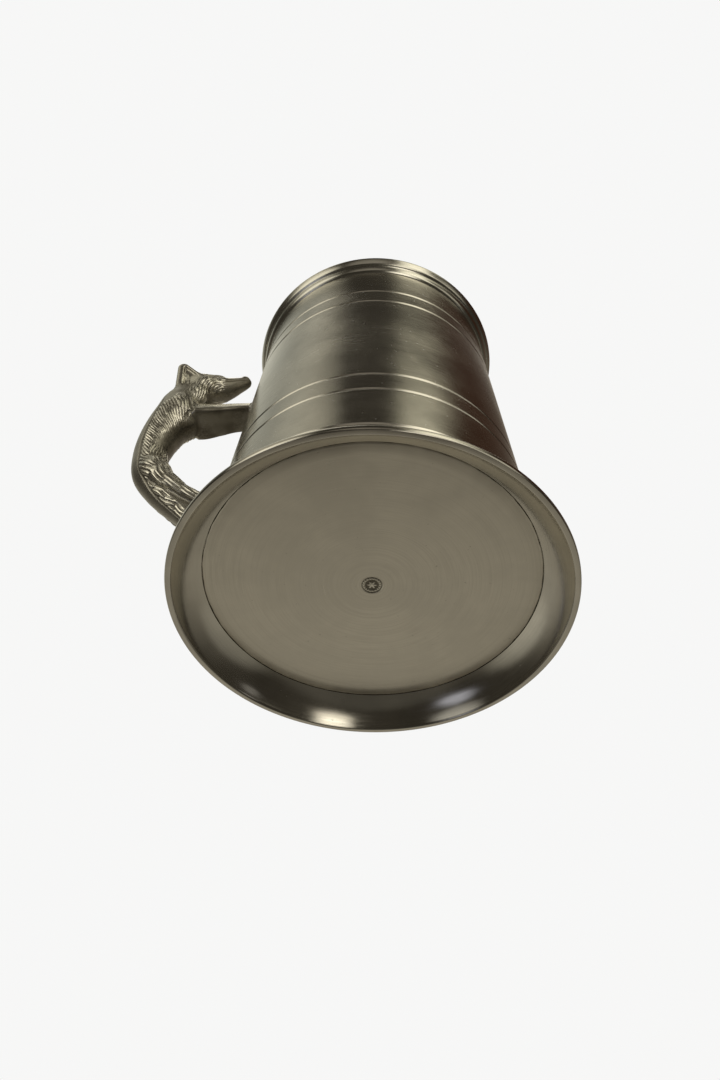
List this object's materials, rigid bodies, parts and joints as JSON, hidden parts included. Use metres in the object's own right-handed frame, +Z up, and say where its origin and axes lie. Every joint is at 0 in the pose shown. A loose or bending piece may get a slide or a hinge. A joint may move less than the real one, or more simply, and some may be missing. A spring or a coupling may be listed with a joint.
{
  "type": "pewter tankard",
  "caption": "Tapered open drinking tankard on a flared foot, with four incised lines, a banded lip and a cast fox as its handle.",
  "frame": {"origin": "bottom centre of the whole object's box, on the plane the foot stands on; the drum's axis is 12.15 mm along +X from it", "axes": "+Z up from the foot to the lip, -X towards the fox handle, Y across; the object is symmetric about the XZ plane"},
  "size_m": [0.1275, 0.104, 0.125],
  "materials": {
    "spun_pewter": "spun and polished, with fine turning lines",
    "satin_pewter": "satin, plain turned sheet",
    "cast_pewter": "cast, darkened in the recesses and rubbed bright on the fur",
    "solder": "smooth, wiped solder"
  },
  "bodies": {
    "root": {"drum": "spun_pewter", "rim_band": "spun_pewter", "foot_skirt": "spun_pewter", "base_disc": "satin_pewter", "fox_handle": "cast_pewter", "base_seam": "solder", "neck_seam": "solder", "rim_seam": "solder", "forepaw_solder": "solder", "left_hind_paw_solder": "solder", "right_hind_paw_solder": "solder", "tail_solder": "solder"}
  },
  "joints": []
}
